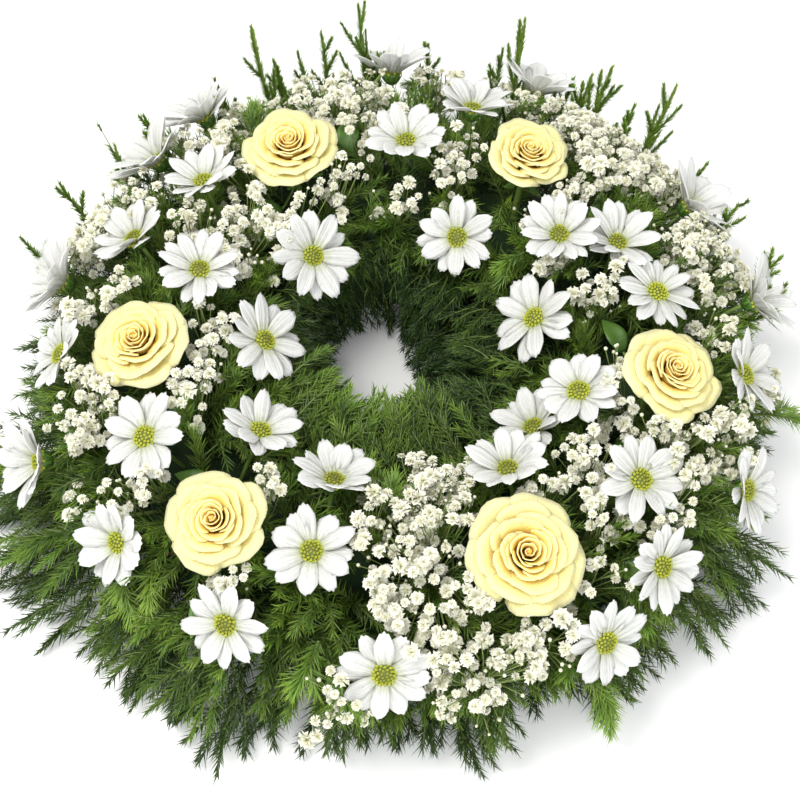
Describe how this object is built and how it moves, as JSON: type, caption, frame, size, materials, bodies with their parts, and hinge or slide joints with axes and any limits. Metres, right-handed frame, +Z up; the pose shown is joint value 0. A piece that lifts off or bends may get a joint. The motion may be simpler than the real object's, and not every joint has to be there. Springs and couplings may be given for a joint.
{
  "type": "funeral wreath",
  "caption": "Round funeral wreath: a foam ring in a shallow tray, covered with needle greenery, cream roses, white daisy chrysanthemums and gypsophila round an open hole.",
  "frame": {"origin": "centre of the ring on its flat underside", "axes": "+Z up through the hole; -Y towards the viewer of the picture, +X to the viewer's right"},
  "size_m": [0.5596, 0.5622, 0.1311],
  "materials": {
    "tray": "satin dark green moulded plastic",
    "foam": "matt soaked floral foam",
    "rose": "soft matt cream petals, warmer yellow at the heart",
    "daisy": "matt white petals round a yellow-green disc",
    "gypsophila": "matt ivory florets on thin green twigs",
    "needles": "slightly waxy green needles"
  },
  "bodies": {
    "root": {"ring_tray": "tray", "foam_ring": "foam", "rose_01": "rose", "rose_02": "rose", "rose_03": "rose", "rose_04": "rose", "rose_05": "rose", "rose_06": "rose", "daisy_01": "daisy", "daisy_02": "daisy", "daisy_03": "daisy", "daisy_04": "daisy", "daisy_05": "daisy", "daisy_06": "daisy", "daisy_07": "daisy", "daisy_08": "daisy", "daisy_09": "daisy", "daisy_10": "daisy", "daisy_11": "daisy", "daisy_12": "daisy", "daisy_13": "daisy", "daisy_14": "daisy", "daisy_15": "daisy", "daisy_16": "daisy", "daisy_17": "daisy", "daisy_18": "daisy", "daisy_19": "daisy", "daisy_20": "daisy", "daisy_21": "daisy", "daisy_22": "daisy", "daisy_23": "daisy", "daisy_24": "daisy", "daisy_25": "daisy", "daisy_26": "daisy", "daisy_27": "daisy", "daisy_28": "daisy", "daisy_29": "daisy", "daisy_30": "daisy", "daisy_31": "daisy", "daisy_32": "daisy", "daisy_33": "daisy", "daisy_34": "daisy", "daisy_35": "daisy", "gypsophila_1": "gypsophila", "gypsophila_2": "gypsophila", "gypsophila_3": "gypsophila", "gypsophila_4": "gypsophila", "gypsophila_5": "gypsophila", "gypsophila_6": "gypsophila", "gypsophila_7": "gypsophila", "gypsophila_8": "gypsophila", "gypsophila_9": "gypsophila", "needle_bough_1": "needles", "needle_bough_2": "needles", "needle_bough_3": "needles", "needle_bough_4": "needles", "needle_bough_5": "needles", "needle_bough_6": "needles", "needle_bough_7": "needles", "needle_bough_8": "needles"}
  },
  "joints": []
}
